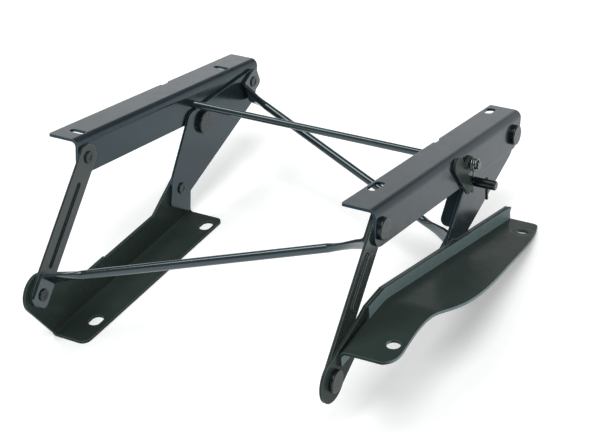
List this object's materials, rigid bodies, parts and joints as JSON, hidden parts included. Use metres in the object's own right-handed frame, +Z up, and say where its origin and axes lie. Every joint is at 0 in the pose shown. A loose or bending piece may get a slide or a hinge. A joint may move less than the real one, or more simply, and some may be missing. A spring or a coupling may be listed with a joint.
{
  "type": "seat riser",
  "caption": "Folding seat riser frame of pressed steel: seat rails on front links and rear plates over floor brackets, tied by cross rods, with a sprung hook latch.",
  "frame": {"origin": "on the floor at the bottom centre of the bounding box, with the latched frame standing on its feet", "axes": "X across the seat with the high pressed foot towards +X, +Y to the low rear ends of the seat rails, +Z up"},
  "size_m": [0.437, 0.4602, 0.1861],
  "materials": {
    "frame_paint": "satin",
    "bracket_paint": "satin",
    "rod_paint": "gloss",
    "hardware_paint": "satin",
    "spring_steel": "bright"
  },
  "bodies": {
    "floor_brackets": {"left_floor_bracket": "bracket_paint", "right_pivot_plate": "bracket_paint", "right_floor_foot": "bracket_paint", "left_front_foot_rivet": "hardware_paint", "left_rear_foot_rivet": "hardware_paint", "right_front_foot_rivet": "hardware_paint", "right_rear_foot_rivet": "hardware_paint"},
    "front_links": {"left_front_link": "frame_paint", "right_front_link": "frame_paint", "front_brace_rod": "rod_paint"},
    "seat_rails": {"left_seat_rail": "frame_paint", "right_seat_rail": "frame_paint", "left_front_top_rivet": "hardware_paint", "right_front_top_rivet": "hardware_paint"},
    "rear_plates": {"left_rear_plate": "frame_paint", "right_rear_plate": "frame_paint", "rear_brace_rod": "rod_paint", "left_rear_top_rivet": "hardware_paint", "right_rear_top_rivet": "hardware_paint", "left_latch_stud": "hardware_paint", "right_latch_stud": "hardware_paint", "stud_cotter_pin": "spring_steel"},
    "latch": {"latch_cross_rod": "rod_paint", "left_latch_hook": "hardware_paint", "right_latch_hook": "hardware_paint", "latch_spring": "spring_steel"}
  },
  "joints": [
    {"name": "front_fold", "type": "hinge", "parent": "floor_brackets", "child": "front_links", "pos_m": [-0.0155, -0.20808, 0.0609], "axis": [1, 0, 0], "range_deg": [0, 38]},
    {"name": "rail_swing", "type": "hinge", "parent": "front_links", "child": "seat_rails", "pos_m": [-0.0155, -0.10473, 0.16301], "axis": [1, 0, 0], "range_deg": [-28.5, 0]},
    {"name": "rear_fold", "type": "hinge", "parent": "floor_brackets", "child": "rear_plates", "pos_m": [-0.0155, 0.04632, 0.044], "axis": [1, 0, 0], "range_deg": [0, 43]},
    {"name": "latch_turn", "type": "hinge", "parent": "seat_rails", "child": "latch", "pos_m": [-0.0155, 0.08745, 0.12972], "axis": [-1, 0, 0], "range_deg": [0, 25], "stiffness_Nm_per_rad": 0.3, "springref_deg": -20.05}
  ],
  "couplings": [
    {"joint": "rail_swing", "follows": "front_fold", "ratio": -0.7465},
    {"joint": "rear_fold", "follows": "front_fold", "ratio": 1.1248}
  ]
}
